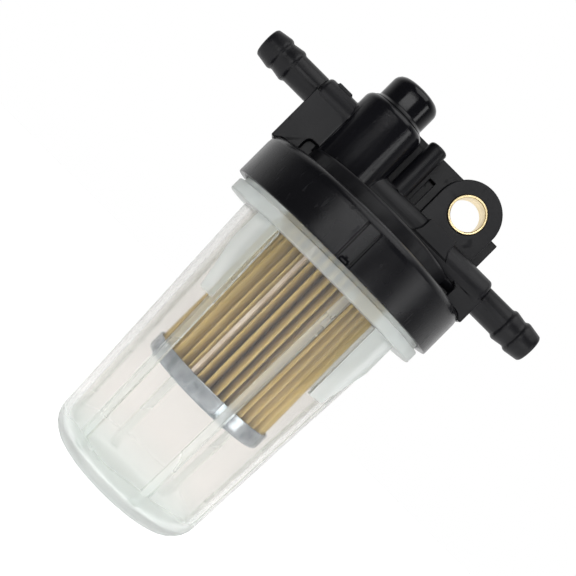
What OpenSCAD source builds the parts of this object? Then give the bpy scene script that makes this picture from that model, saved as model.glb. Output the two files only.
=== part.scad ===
// Bowl-type fuel filter for a small engine: a moulded head with two hose tubes and a
// bolting eye, a screw ring that draws a clear bowl up to the head, and a pleated
// paper element on the head's central spigot.
// Origin: centre of the bowl's underside. +Z up, +X towards the outlet tube, +Y to
// the machine that the eye is bolted to.

/* [Bowl] */
// Height of the clear wall, from the underside to the flange
bowl_wall_h = 70; // [66:1:71]
// Outer radius of the wall just above the bottom corner
bowl_r_low = 21.6; // [20.8:0.1:22]
// Outer radius of the wall under the flange
bowl_r_top = 24.7; // [24.5:0.1:25.2]
// Wall thickness
bowl_wall = 1.9; // [1.6:0.1:2.1]
// Floor thickness
bowl_floor = 2.8; // [2:0.1:3.4]
// Outer radius of the bottom corner
bowl_corner = 6.7; // [5.5:0.1:7]
// Flange radius
flange_r = 29.7; // [29:0.1:30.5]
// Radius at the crests of the neck's thread
thread_r = 28.5; // [28.2:0.1:28.5]
// Depth of the neck's thread
thread_depth = 0.6; // [0.3:0.1:0.8]
// Number of ribs inside the wall
rib_count = 6; // [3:1:8]
// Rib width round the wall
rib_w = 2.4; // [1.6:0.1:3]
// How far a rib stands in from the wall
rib_h = 1.1; // [0.6:0.1:1.2]

/* [Retaining ring] */
// Outer radius
ring_r = 31.1; // [30.8:0.1:31.1]
// Height of the lower edge
ring_z = 74.3; // [74:0.1:74.6]
// Height of the top face
ring_top = 86.7; // [86.5:0.1:86.7]
// Radius of the threaded bore
ring_bore_r = 28.8; // [28.8:0.1:29.2]
// Rounding of the top outer corner
ring_round = 2.6; // [1.5:0.1:2.8]
// Number of latch tongues round the ring
latch_count = 3; // [1:1:4]

/* [Head] */
// Half length of the web that carries the hose tubes
web_x = 31.6; // [31.6:0.1:32.2]
// Thickness of the web
web_t = 9.4; // [8.6:0.1:9.6]
// Radius of the raised disc
disc_r = 22.1; // [21:0.1:22.6]
// Height of the disc's top face
disc_top = 91; // [90.5:0.1:91.5]
// Radius of the valve chamber
chamber_r = 8.9; // [8.7:0.1:9.2]
// X of the valve chamber's axis
chamber_x = -13.7; // [-14:0.1:-13.4]
// Height of the chamber's shoulder
chamber_top = 110.6; // [110:0.1:111]
// Height of the inlet tube's axis
inlet_z = 101.2; // [101:0.1:101.6]
// Height of the outlet tube's axis
outlet_z = 93.2; // [93:0.1:93.6]
// X of the tip of each hose tube, left and right
tube_tip_x = 48.5; // [47.8:0.1:49]
// Radius of a hose tube's stem
stem_r = 4; // [3.9:0.05:4.1]
// Radius of the barbs
barb_r = 4.5; // [4.4:0.05:4.6]
// Radius of the fuel passages
passage_r = 2.4; // [2:0.1:2.6]

/* [Bolting eye] */
// X of the eye's axis
eye_x = 15.3; // [15:0.1:15.8]
// Height of the eye's axis
eye_z = 106.2; // [106:0.1:106.6]
// Outer radius of the eye
eye_r = 8.6; // [8.2:0.1:9]
// Y of the eye's front face
eye_front = 2.6; // [2.4:0.1:3]
// Y of the face that sits on the machine
eye_back = 11.2; // [11:0.1:12]
// Outer radius of the brass bush
bush_r = 4.9; // [4.8:0.05:5]
// Bore radius of the brass bush, for an M8 bolt
bush_bore_r = 4.25; // [4.2:0.05:4.3]

/* [Element] */
// X of the element's axis and of the spigot that it hangs on
element_x = 0.8; // [0.6:0.1:0.8]
// Radius of the end caps
cap_r = 17.8; // [17.4:0.1:17.8]
// Height of the lower cap's underside
cap_low_z = 29.6; // [29:0.1:31]
// Height of the upper cap's top face
cap_high_z = 79.4; // [79:0.1:79.6]
// Number of pleats
pleat_count = 36; // [30:1:36]
// Radius at the pleats' outer folds
pleat_r = 17.1; // [16.8:0.1:17.1]
// Radius at the pleats' inner folds
pleat_in_r = 9.1; // [9:0.1:9.4]

/* [Check valve] */
// Ball radius
ball_r = 3.5; // [3.3:0.1:3.6]
// Hole radius in the valve seat
seat_hole_r = 2.9; // [2.6:0.1:2.9]
// Height of the seat's lower edge, which the ball closes
seat_z = 95.2; // [95:0.1:95.4]
// Wire radius of the valve spring
wire_r = 0.2; // [0.15:0.05:0.25]
// Number of coils in the valve spring
coil_count = 4; // [3:1:5]

/* [Hidden] */
$fn = 96;
eps = 0.01;

// Colours
black_plastic = [0.07, 0.07, 0.075];
clear_nylon = [0.93, 0.92, 0.9, 0.45];
brass = [0.85, 0.68, 0.38];
zinc = [0.62, 0.66, 0.7];
paper_tan = [0.72, 0.58, 0.34];
glue_tan = [0.78, 0.7, 0.5];
rubber = [0.12, 0.12, 0.12];
spring_steel = [0.7, 0.7, 0.72];

// Bowl
bowl_flat_r = bowl_r_low - bowl_corner;
wall_slope = atan((bowl_r_top - bowl_r_low) / (bowl_wall_h - bowl_corner));
inner_corner = 4.8;
inner_flat_r = bowl_r_low - bowl_wall - inner_corner;
flange_h = 3.2;
flange_top = bowl_wall_h + flange_h;
flange_edge = 0.3;
neck_bore_r = 24.6;
neck_bore_z = 74.8;
rim_z = 82.2;
thread_z = 75.6;
thread_pitch = 2;
thread_rows = 3;
rib_azimuth = 21;
rib_top = bowl_wall_h - 1;
lug_r = 26.6;
lug_low = 49.1;
lug_bend = 61.3;

// Head, base and ring
joint_z = 85.1;
shoulder_r = 25;
ring_opening_r = 25.3;
ring_lip = 1.5;
ring_gap = 0.35;
hook_z = 85.6;
notch_x = 24.8;
notch_top = 91.5;
notch_round = 1.5;
notch_core = 2.5;
chamber_bore_r = 6.9;
chamber_roof = 2.3;
chamber_mouth_r = 5.3;
inlet_boss_r = 4.8;
outlet_boss_r = 5.05;
boss_end_x = 31.3;
wall_front = 5.5;
wall_back = 8.5;
wall_top = 112.1;
block_x0 = 4.6;
block_x1 = 26.2;
block_front = 6;
block_low = 88;
block_top = 106.4;
post_x = -0.9;
post_r = 2.55;
post_top = 112.4;
plug_r = 24.1;
plug_wall = 1.9;
plug_low = 76.5;
plate_low = 82;
base_flange_r = 28.4;
base_flange_low = 83.6;
spigot_r = 6;
spigot_low = 73.5;
port_r = 4.5;
outlet_bore_r = 2.6;
cap_knob_r = 6.75;
cap_seat_r = 7.9;
cap_top = 118.5;

// Element
sheet = 0.5;
cap_rim = 4.5;
top_rim = 3;
glue_h = 1.5;
glue_high_h = 1.3;
paper_low = cap_low_z + sheet + glue_h;
paper_high = cap_high_z - sheet - glue_high_h;
core_r = 8.7;
core_wall = 0.5;
core_hole_r = 1.6;
core_rows = 5;
core_cols = 6;
grommet_r = 8;
seam_azimuth = -20;
pleat_pitch = 360 / pleat_count;

// Check valve
retainer_h = 1.2;
retainer_holes = 6;
ball_gap = 0.04;
ball_z = seat_z - sqrt(ball_r * ball_r - seat_hole_r * seat_hole_r) - ball_gap;
coil_r = 2.2;
spring_low = joint_z + retainer_h + wire_r;
spring_high = ball_z - sqrt(ball_r * ball_r - coil_r * coil_r) - 2 * wire_r;

// Points of an arc about (cx, cy), from angle a0 to a1, in steps steps
function arc(cx, cy, r, a0, a1, steps = 8) =
    [for (i = [0 : steps])
        let (a = a0 + (a1 - a0) * i / steps) [cx + r * cos(a), cy + r * sin(a)]];

// A point at radius r and angle a, clockwise from -Y seen from above, plus X
function polar(r, a) = [r * sin(a), -r * cos(a)];

// Inner radius of the bowl's wall at height z
function bowl_in(z) =
    bowl_r_low - bowl_wall
    + (bowl_r_top - bowl_r_low) * (z - bowl_corner) / (bowl_wall_h - bowl_corner);

// Turns what is drawn about +Z to lie along +X at height z
module along_x(z) {
    translate([0, 0, z]) rotate([0, 90, 0]) children();
}

// Turns what is drawn about +Z to lie along +Y at the bolting eye
module at_eye() {
    translate([eye_x, 0, eye_z]) rotate([-90, 0, 0]) children();
}

// Extrudes an X-Z outline from y0 to y1
module slab(y0, y1) {
    translate([0, y1, 0]) rotate([90, 0, 0]) linear_extrude(y1 - y0) children();
}

// ---- Bowl -------------------------------------------------------------------

module bowl_shell() {
    thread = [for (i = [0 : thread_rows - 1]) let (z = thread_z + i * thread_pitch)
        each [
            [thread_r - thread_depth, z], [thread_r, z + 0.4],
            [thread_r, z + 0.9], [thread_r - thread_depth, z + 1.3]
        ]];
    outside = concat(
        [[0, 0]],
        arc(bowl_flat_r, bowl_corner, bowl_corner, -90, -wall_slope, 10),
        [[bowl_r_top, bowl_wall_h], [flange_r - flange_edge, bowl_wall_h],
         [flange_r, bowl_wall_h + flange_edge], [flange_r, flange_top - flange_edge],
         [flange_r - flange_edge, flange_top], [thread_r, flange_top],
         [thread_r, flange_top + 1.4], [thread_r - thread_depth, flange_top + 1.9]],
        thread,
        [[thread_r - thread_depth, rim_z], [neck_bore_r, rim_z]]
    );
    inside = concat(
        [[neck_bore_r, neck_bore_z], [bowl_in(bowl_wall_h), neck_bore_z - 2.4]],
        arc(inner_flat_r, bowl_floor + inner_corner, inner_corner, -wall_slope, -90, 8),
        [[0, bowl_floor]]
    );
    rotate_extrude() polygon(concat(outside, inside));
}

// One rib: a thin radial wall that follows the inside of the cup down to its floor
module bowl_rib() {
    low = bowl_floor + inner_corner;
    outline = [
        [bowl_in(low) - rib_h - 0.2, bowl_floor - 0.3],
        [bowl_in(low) - rib_h, low],
        [bowl_in(rib_top) - rib_h, rib_top],
        [bowl_in(rib_top) + 0.5, rib_top],
        [bowl_in(low) + 0.5, low],
        [bowl_in(low) - 0.7, bowl_floor + 1.2]
    ];
    rotate([0, 0, -90]) translate([0, rib_w / 2, 0]) rotate([90, 0, 0])
        linear_extrude(rib_w) polygon(outline);
}

// The four spanner lugs under the flange: two in front, and their mirror images behind
module bowl_lugs() {
    left = [[-13.7, lug_low], [-13.7, flange_top - 1], [-19.8, flange_top - 1],
            [-19.8, lug_bend], [-17.2, lug_low]];
    right = [[17.1, lug_low], [20.5, lug_low], [23.6, lug_bend],
             [23.6, flange_top - 1], [17.1, flange_top - 1]];
    for (side = [0, 1]) mirror([0, side, 0]) difference() {
        intersection() {
            translate([0, 0, lug_low - 1]) cylinder(r = lug_r, h = flange_top - lug_low);
            union() {
                slab(-lug_r - 1, -4) polygon(left);
                slab(-lug_r - 1, -4) polygon(right);
            }
        }
        translate([0, 0, bowl_corner])
            cylinder(r1 = bowl_r_low - 0.4, r2 = bowl_r_top - 0.4,
                     h = bowl_wall_h - bowl_corner);
        translate([0, 0, bowl_wall_h - 1]) cylinder(r = bowl_r_top - 0.4, h = 6);
    }
}

module bowl() {
    color(clear_nylon) {
        bowl_shell();
        for (i = [0 : rib_count - 1])
            rotate([0, 0, rib_azimuth + i * 360 / rib_count]) bowl_rib();
        bowl_lugs();
    }
}

// ---- Screw ring and its seal ------------------------------------------------

module latch_cut() {
    slit = 0.5;
    tongue_w = 3.2;
    top = ring_top - 2.2;
    translate([-0.35 - slit, -ring_r - 1, ring_z + 0.2])
        cube([slit, 2, top - ring_z - 0.2]);
    translate([-0.35 + tongue_w, -ring_r - 1, ring_z + 0.2])
        cube([slit, 2, top - ring_z - 0.2]);
    translate([-0.35, -ring_r - 1, ring_z + 0.2])
        cube([tongue_w, 1.3, top - ring_z - 0.2]);
    translate([-0.35 + tongue_w / 2, -ring_r + 1.1, ring_z])
        rotate([90, 0, 0]) cylinder(r = 1.3, h = 3, $fn = 48);
}

module retaining_ring() {
    outline = concat(
        [[ring_bore_r, ring_z], [ring_r - 0.3, ring_z], [ring_r, ring_z + 0.3]],
        arc(ring_r - ring_round, ring_top - ring_round, ring_round, 0, 90, 8),
        [[ring_opening_r, ring_top], [ring_opening_r, ring_top - ring_lip],
         [ring_bore_r, ring_top - ring_lip]]
    );
    color(black_plastic) difference() {
        rotate_extrude() polygon(outline);
        for (i = [0 : latch_count - 1]) rotate([0, 0, i * 360 / latch_count]) latch_cut();
    }
}

module bowl_seal() {
    inner = 24.9;
    outer = 27.8;
    edge = 0.35;
    color(rubber) rotate_extrude() polygon([
        [inner + edge, rim_z], [outer - edge, rim_z], [outer, rim_z + edge],
        [outer, base_flange_low - edge], [outer - edge, base_flange_low],
        [inner + edge, base_flange_low], [inner, base_flange_low - edge],
        [inner, rim_z + edge]
    ]);
}

// ---- Head -------------------------------------------------------------------

// Space that the screw ring needs, with its running gap
module ring_space() {
    r = ring_r + 0.25;
    round_r = ring_round + 0.3;
    rotate_extrude() polygon(concat(
        [[0, 70], [r, 70]],
        arc(r - round_r, ring_top + ring_gap - round_r, round_r, 0, 90, 8),
        [[0, ring_top + ring_gap]]
    ));
}

// Outline of the notch that frees the raised disc from the web's faces
module notch_outline(side) {
    scale([side, 1, 1]) polygon(concat(
        [[disc_r - 2, 80], [notch_x, 80]],
        arc(notch_x - notch_round, notch_top - notch_round, notch_round, 0, 90, 6),
        [[disc_r - 2, notch_top]]
    ));
}

module web() {
    half = web_t / 2;
    difference() {
        union() {
            translate([-web_x, -half, hook_z])
                cube([web_x + chamber_x, web_t, inlet_z - hook_z]);
            translate([chamber_x, -half, hook_z])
                cube([web_x - chamber_x, web_t, outlet_z - hook_z]);
        }
        ring_space();
        slab(-half - 1, -notch_core) notch_outline(1);
        slab(-half - 1, -notch_core) notch_outline(-1);
        slab(notch_core, half + 1) notch_outline(1);
        slab(notch_core, half + 1) notch_outline(-1);
    }
}

module disc() {
    edge = 0.8;
    rotate_extrude() polygon(concat(
        [[0, joint_z], [shoulder_r, joint_z], [shoulder_r, ring_top + 0.5],
         [disc_r, ring_top + 0.5]],
        arc(disc_r - edge, disc_top - edge, edge, 0, 90, 6),
        [[0, disc_top]]
    ));
}

// A hose tube from the head's middle to its barbed tip, drawn about +Z
module hose_tube(boss_r, boss_length) {
    edge = 1.2;
    rotate_extrude() polygon(concat(
        [[0, boss_end_x - boss_length], [boss_r, boss_end_x - boss_length]],
        arc(boss_r - edge, boss_end_x - edge, edge, 0, 90, 6),
        [[stem_r, boss_end_x], [stem_r, 39.2], [barb_r, 39.8], [barb_r, 40.4],
         [stem_r, 43.3], [barb_r, 43.9], [barb_r, 44.6], [stem_r - 0.05, 48],
         [stem_r - 0.5, tube_tip_x], [0, tube_tip_x]]
    ));
}

module chamber() {
    edge = 2;
    translate([chamber_x, 0, 0]) rotate_extrude() polygon(concat(
        [[0, disc_top - 1], [chamber_r, disc_top - 1]],
        arc(chamber_r - edge, chamber_top - edge, edge, 0, 90, 6),
        [[0, chamber_top]]
    ));
}

// The eye, the block and the wall that tie it to the chamber, and the core post
module bracket() {
    pocket_x = 2.7;
    at_eye() translate([0, 0, eye_front]) cylinder(r = eye_r, h = eye_back - eye_front);
    translate([eye_x - eye_r, eye_front, outlet_z])
        cube([2 * eye_r, eye_back - eye_front, eye_z - outlet_z]);
    translate([block_x0, block_front, block_low])
        cube([block_x1 - block_x0, eye_back - block_front, block_top - block_low]);
    difference() {
        translate([chamber_x, wall_front, disc_top - 1])
            cube([eye_x - chamber_x, wall_back - wall_front, wall_top - disc_top + 1]);
        translate([pocket_x, wall_front - 1, disc_top])
            cube([block_x0 - pocket_x, 3.2, block_top - disc_top]);
        translate([eye_x, wall_front - 1, disc_top - 2]) cube([20, 6, 30]);
    }
    translate([post_x, 0, outlet_z]) rotate_extrude() polygon(concat(
        [[0, 0], [post_r, 0]],
        arc(post_r - 0.9, post_top - outlet_z - 0.9, 0.9, 0, 90, 6),
        [[0, post_top - outlet_z]]
    ));
}

// Flat pads: one stands up the front of the outlet tube, one lies on the inlet boss
module pads() {
    front = -5.2;
    slab(front, 0) polygon([
        [8.0, 93.4], [8.6, 94.2], [9.1, 95.2], [9.25, 96.2], [9.25, 98.2],
        [17.7, 98.2], [17.7, 96.2], [17.9, 95.2], [18.4, 94.2], [19.0, 93.4]
    ]);
    translate([-28.9, -2, inlet_z]) cube([4.3, 4, 5.1]);
}

module head_solid() {
    web();
    disc();
    chamber();
    along_x(inlet_z) rotate([180, 0, 0]) hose_tube(inlet_boss_r, boss_end_x + chamber_x);
    along_x(outlet_z) hose_tube(outlet_boss_r, boss_end_x - chamber_x - 4);
    bracket();
    pads();
}

module head() {
    color(black_plastic) difference() {
        head_solid();
        translate([chamber_x, 0, joint_z - eps])
            cylinder(r = chamber_bore_r, h = chamber_top - chamber_roof - joint_z);
        translate([chamber_x, 0, joint_z])
            cylinder(r = chamber_mouth_r, h = chamber_top);
        translate([chamber_x, 0, chamber_top]) cylinder(r = cap_seat_r, h = 10);
        translate([element_x, 0, joint_z - eps])
            cylinder(r = outlet_bore_r, h = outlet_z - joint_z);
        along_x(inlet_z) rotate([180, 0, 0]) translate([0, 0, -chamber_x])
            cylinder(r = passage_r, h = tube_tip_x);
        along_x(outlet_z) translate([0, 0, element_x - outlet_bore_r])
            cylinder(r = passage_r, h = tube_tip_x + 5);
        at_eye() cylinder(r = bush_r, h = 20);
    }
}

module head_base() {
    color(black_plastic) difference() {
        union() {
            rotate_extrude() polygon([
                [0, plate_low], [plug_r - plug_wall, plate_low],
                [plug_r - plug_wall, plug_low], [plug_r - 0.4, plug_low],
                [plug_r, plug_low + 0.8], [plug_r, base_flange_low],
                [base_flange_r, base_flange_low], [base_flange_r, joint_z], [0, joint_z]
            ]);
            translate([element_x, 0, 0]) rotate_extrude() polygon([
                [0, spigot_low], [spigot_r - 0.8, spigot_low],
                [spigot_r, spigot_low + 1.2], [spigot_r, plate_low + 1],
                [0, plate_low + 1]
            ]);
        }
        translate([element_x, 0, spigot_low - 1]) cylinder(r = outlet_bore_r, h = 20);
        translate([chamber_x, 0, plate_low - 1]) cylinder(r = port_r, h = 10);
    }
}

module chamber_cap() {
    edge = 2.4;
    root = 0.8;
    plug_end = 104.5;
    color(black_plastic) translate([chamber_x, 0, 0]) difference() {
        rotate_extrude() polygon(concat(
            [[0, plug_end], [chamber_mouth_r - 0.35, plug_end],
             [chamber_mouth_r - 0.02, plug_end + 0.4],
             [chamber_mouth_r - 0.02, chamber_top]],
            arc(cap_knob_r + root, chamber_top + root, root, 270, 180, 4),
            arc(cap_knob_r - edge, cap_top - edge, edge, 0, 90, 8),
            [[0, cap_top]]
        ));
        translate([0, 0, plug_end - 1])
            cylinder(r = chamber_mouth_r - 1.6, h = cap_top - 3 - plug_end);
    }
}

module mount_bush() {
    color(brass) at_eye() translate([0, 0, eye_front - 0.2]) difference() {
        cylinder(r = bush_r, h = eye_back - eye_front + 0.2);
        translate([0, 0, -1]) cylinder(r = bush_bore_r, h = 20);
    }
}

// ---- Check valve in the chamber -------------------------------------------

module valve_seat() {
    seat_h = 2.4;
    color(brass) translate([chamber_x, 0, seat_z]) difference() {
        cylinder(r = chamber_bore_r - 0.02, h = seat_h);
        translate([0, 0, -1]) cylinder(r = seat_hole_r, h = seat_h + 2);
    }
}

module valve_ball() {
    color(spring_steel) translate([chamber_x, 0, ball_z]) sphere(r = ball_r);
}

// A round wire swept along a helix, with a ring of points at each step
module valve_spring() {
    per_turn = 16;
    sides = 6;
    steps = coil_count * per_turn;
    rise = spring_high - spring_low;
    points = [for (i = [0 : steps], j = [0 : sides - 1])
        let (a = 360 * i / per_turn, b = 360 * j / sides, r = coil_r + wire_r * cos(b))
        [r * cos(a), r * sin(a), spring_low + rise * i / steps + wire_r * sin(b)]];
    skin = [for (i = [0 : steps - 1], j = [0 : sides - 1])
        let (k = (j + 1) % sides)
        [i * sides + j, i * sides + k, (i + 1) * sides + k, (i + 1) * sides + j]];
    first = [for (j = [0 : sides - 1]) sides - 1 - j];
    last = [for (j = [0 : sides - 1]) steps * sides + j];
    color(spring_steel) translate([chamber_x, 0, 0])
        polyhedron(points = points, faces = concat([first], skin, [last]));
}

module valve_retainer() {
    hole_ring = 4.6;
    color(black_plastic) translate([chamber_x, 0, joint_z]) difference() {
        cylinder(r = chamber_bore_r - 0.1, h = retainer_h);
        for (i = [0 : retainer_holes - 1]) rotate([0, 0, i * 360 / retainer_holes])
            translate([hole_ring, 0, -1]) cylinder(r = 1, h = retainer_h + 2, $fn = 32);
        translate([0, 0, -1]) cylinder(r = 1.2, h = retainer_h + 2, $fn = 32);
    }
}

// ---- Element ----------------------------------------------------------------

module at_element() {
    translate([element_x, 0, 0]) children();
}

// Folded paper: a star outline with a narrower star taken out of it
module element_paper() {
    turn = seam_azimuth + pleat_pitch / 2;
    fold = 1.4 * pleat_pitch / 10;
    gap = 0.3 * pleat_pitch / 10;
    back = 2.3 * pleat_pitch / 10;
    outer = [for (k = [0 : pleat_count - 1]) let (a = turn + k * pleat_pitch)
        each [
            polar(pleat_r, a - fold), polar(pleat_r, a + fold),
            polar(pleat_in_r + 0.5, a + pleat_pitch / 2 - gap),
            polar(pleat_in_r + 0.5, a + pleat_pitch / 2 + gap)
        ]];
    inner = [for (k = [0 : pleat_count - 1]) let (a = turn + k * pleat_pitch)
        each [
            polar(pleat_r - 0.5, a), polar(pleat_in_r, a + back),
            polar(pleat_in_r, a + pleat_pitch - back)
        ]];
    color(paper_tan) at_element() translate([0, 0, paper_low])
        linear_extrude(paper_high - paper_low) difference() {
            polygon(outer);
            polygon(inner);
        }
}

// Glued side seam, lying in one valley of the pleats
module element_seam() {
    seam_t = 0.9;
    seam_in = 14.5;
    color(glue_tan) at_element() rotate([0, 0, seam_azimuth])
        translate([-seam_t / 2, -pleat_r, paper_low])
        cube([seam_t, pleat_r - seam_in, paper_high - paper_low]);
}

module element_core() {
    tube_h = paper_high - paper_low;
    color(zinc) at_element() translate([0, 0, paper_low]) difference() {
        cylinder(r = core_r, h = tube_h);
        translate([0, 0, -1]) cylinder(r = core_r - core_wall, h = tube_h + 2);
        for (row = [0 : core_rows - 1], col = [0 : core_cols - 1])
            translate([0, 0, tube_h * (row + 0.5) / core_rows])
                rotate([90, 0, 360 * (col + 0.5 * (row % 2)) / core_cols])
                cylinder(r = core_hole_r, h = core_r + 1, $fn = 32);
    }
}

module element_top_cap() {
    color(zinc) at_element() rotate_extrude() polygon([
        [grommet_r, cap_high_z - sheet], [cap_r - sheet, cap_high_z - sheet],
        [cap_r - sheet, cap_high_z - top_rim], [cap_r, cap_high_z - top_rim],
        [cap_r, cap_high_z - 0.5], [cap_r - 0.5, cap_high_z], [grommet_r, cap_high_z]
    ]);
}

module element_bottom_cap() {
    edge = 1;
    color(zinc) at_element() rotate_extrude() polygon(concat(
        [[0, cap_low_z]],
        arc(cap_r - edge, cap_low_z + edge, edge, -90, 0, 6),
        [[cap_r, cap_low_z + cap_rim], [cap_r - sheet, cap_low_z + cap_rim],
         [cap_r - sheet, cap_low_z + edge], [cap_r - edge, cap_low_z + sheet],
         [0, cap_low_z + sheet]]
    ));
}

module element_top_glue() {
    color(glue_tan) at_element() translate([0, 0, paper_high]) difference() {
        cylinder(r = cap_r - sheet - 0.1, h = glue_high_h);
        translate([0, 0, -1]) cylinder(r = grommet_r + 0.05, h = glue_high_h + 2);
    }
}

module element_bottom_glue() {
    color(glue_tan) at_element() translate([0, 0, cap_low_z + sheet])
        cylinder(r = cap_r - 1.2, h = glue_h);
}

module element_grommet() {
    inner = spigot_r + 0.05;
    body_r = grommet_r - 0.02;
    color(rubber) at_element() rotate_extrude() polygon([
        [inner + 0.5, 75], [body_r, 75], [body_r, cap_high_z], [9.4, cap_high_z],
        [9.4, cap_high_z + 0.5], [9.1, cap_high_z + 0.8], [inner, cap_high_z + 0.8],
        [inner, 75.5]
    ]);
}

head();
head_base();
chamber_cap();
mount_bush();
valve_seat();
valve_ball();
valve_spring();
valve_retainer();
retaining_ring();
bowl_seal();
bowl();
element_paper();
element_seam();
element_core();
element_top_cap();
element_bottom_cap();
element_top_glue();
element_bottom_glue();
element_grommet();
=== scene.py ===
# %% [markdown]
# # A bowl-type fuel filter
#
# This file is a lesson in finishing a machine part in Blender. The design, with every
# size and joint, is already packed as a frame of CAD nodes. Here each visible piece gets
# the shape detail, the edges and the surface of the real one, in metres and in the
# frame's own coordinates: +Z up along the bowl, +X to the outlet, +Y to the machine.

import math

import bmesh
import bpy
import numpy as np
from mathutils import Matrix, Vector


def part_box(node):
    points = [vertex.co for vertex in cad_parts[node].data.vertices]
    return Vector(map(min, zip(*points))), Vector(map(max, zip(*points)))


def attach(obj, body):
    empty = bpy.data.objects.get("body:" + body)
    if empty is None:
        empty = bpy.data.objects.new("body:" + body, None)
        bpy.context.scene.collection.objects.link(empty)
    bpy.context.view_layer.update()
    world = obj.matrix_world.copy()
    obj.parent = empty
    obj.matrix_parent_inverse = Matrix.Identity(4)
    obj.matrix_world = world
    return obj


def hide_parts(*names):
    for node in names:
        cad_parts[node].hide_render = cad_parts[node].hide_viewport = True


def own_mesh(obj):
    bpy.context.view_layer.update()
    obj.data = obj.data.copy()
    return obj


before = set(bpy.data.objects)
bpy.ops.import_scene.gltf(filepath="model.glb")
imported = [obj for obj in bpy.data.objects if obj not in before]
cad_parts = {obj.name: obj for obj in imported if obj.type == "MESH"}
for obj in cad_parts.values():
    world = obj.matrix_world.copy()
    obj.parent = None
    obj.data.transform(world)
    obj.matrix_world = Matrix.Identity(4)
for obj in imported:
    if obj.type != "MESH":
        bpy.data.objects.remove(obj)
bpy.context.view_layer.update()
MM = 0.001
SHARP_ANGLE = math.radians(30)

# %% [markdown]
# ## Sizes that several pieces share
#
# A maker's drawing has a few driving sizes, and the rest follows from them. They are read
# from the boxes of the CAD nodes where they can be, so that a changed design moves the
# looks with it. The others are detail sizes that the CAD model states too.

# %% driving sizes, in millimetres
def span(node):
    """A CAD node's lowest and highest corner, in millimetres."""
    low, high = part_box(node)
    return np.array(low) / MM, np.array(high) / MM


BOWL_HIGH = span("bowl")[1]
RING_LOW, RING_HIGH = span("retaining_ring")
PAPER_LOW, PAPER_HIGH = span("element_paper")
CUP_LOW, CUP_HIGH = span("element_bottom_cap")
KNOB_LOW, KNOB_HIGH = span("chamber_cap")
BUSH_LOW, BUSH_HIGH = span("mount_bush")
ELEMENT_X = (CUP_LOW[0] + CUP_HIGH[0]) / 2
CHAMBER_X = (KNOB_LOW[0] + KNOB_HIGH[0]) / 2
RING_R = RING_HIGH[0]
FLANGE_R = BOWL_HIGH[0]
WALL_TOP = 70.0
WALL_R_LOW = 21.6
WALL_R_TOP = 24.7
WALL = 1.9
FLOOR = 2.8
CORNER = 6.7
INNER_CORNER = 4.8
print("ring radius", round(RING_R, 2), "flange radius", round(FLANGE_R, 2), "mm")

# %% [markdown]
# ## Surfaces from arrays
#
# Most pieces of a filter are turned or moulded round an axis. Such a piece is a grid: one
# direction runs along its outline, the other round the axis. The helpers below round an
# outline's corners, space its points, spin it with a radius that may change round the
# axis, and turn the grid into a closed mesh. Working with whole arrays keeps the formula
# in sight, and the same helpers serve every piece.

# %% outline helpers
def rounded(points, radii, steps=5):
    """An outline with its corners rounded.

    At a corner with radius r the arc starts and ends r / tan(half the corner's angle)
    away from it, and its points follow a circle that touches both straight stretches.
    """
    points = np.asarray(points, float)
    out = []
    for k, r in enumerate(radii):
        p = points[k]
        if r <= 0 or k in (0, len(points) - 1):
            out.append(p[None])
            continue
        a = points[k - 1] - p
        b = points[k + 1] - p
        la, lb = np.linalg.norm(a), np.linalg.norm(b)
        a, b = a / la, b / lb
        half = math.acos(np.clip(a @ b, -1, 1)) / 2
        cut = min(r / math.tan(half), 0.48 * la, 0.48 * lb)
        radius = cut * math.tan(half)
        centre = p + (a + b) / np.linalg.norm(a + b) * radius / math.sin(half)
        start = p + a * cut - centre
        end = p + b * cut - centre
        t = np.linspace(0, 1, steps + 1)[:, None]
        arc = start * (1 - t) + end * t
        arc *= radius / np.linalg.norm(arc, axis=1, keepdims=True)
        out.append(centre + arc)
    return np.concatenate(out)


def spaced(path, step):
    """The same outline with no stretch longer than step: long stretches get even points."""
    pieces = []
    for a, b in zip(path[:-1], path[1:]):
        n = max(1, int(np.ceil(np.linalg.norm(b - a) / step)))
        pieces.append(a + (b - a) * (np.arange(n) / n)[:, None])
    return np.concatenate(pieces + [path[-1:]])


def soft_step(x):
    """0 below 0, 1 above 1, and 3x^2 - 2x^3 between."""
    x = np.clip(x, 0, 1)
    return x * x * (3 - 2 * x)


def window(x, low, high, soft):
    """1 between low and high, 0 outside, with an edge of width soft centred on each limit."""
    return soft_step((x - low) / soft + 0.5) * soft_step((high - x) / soft + 0.5)


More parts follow.
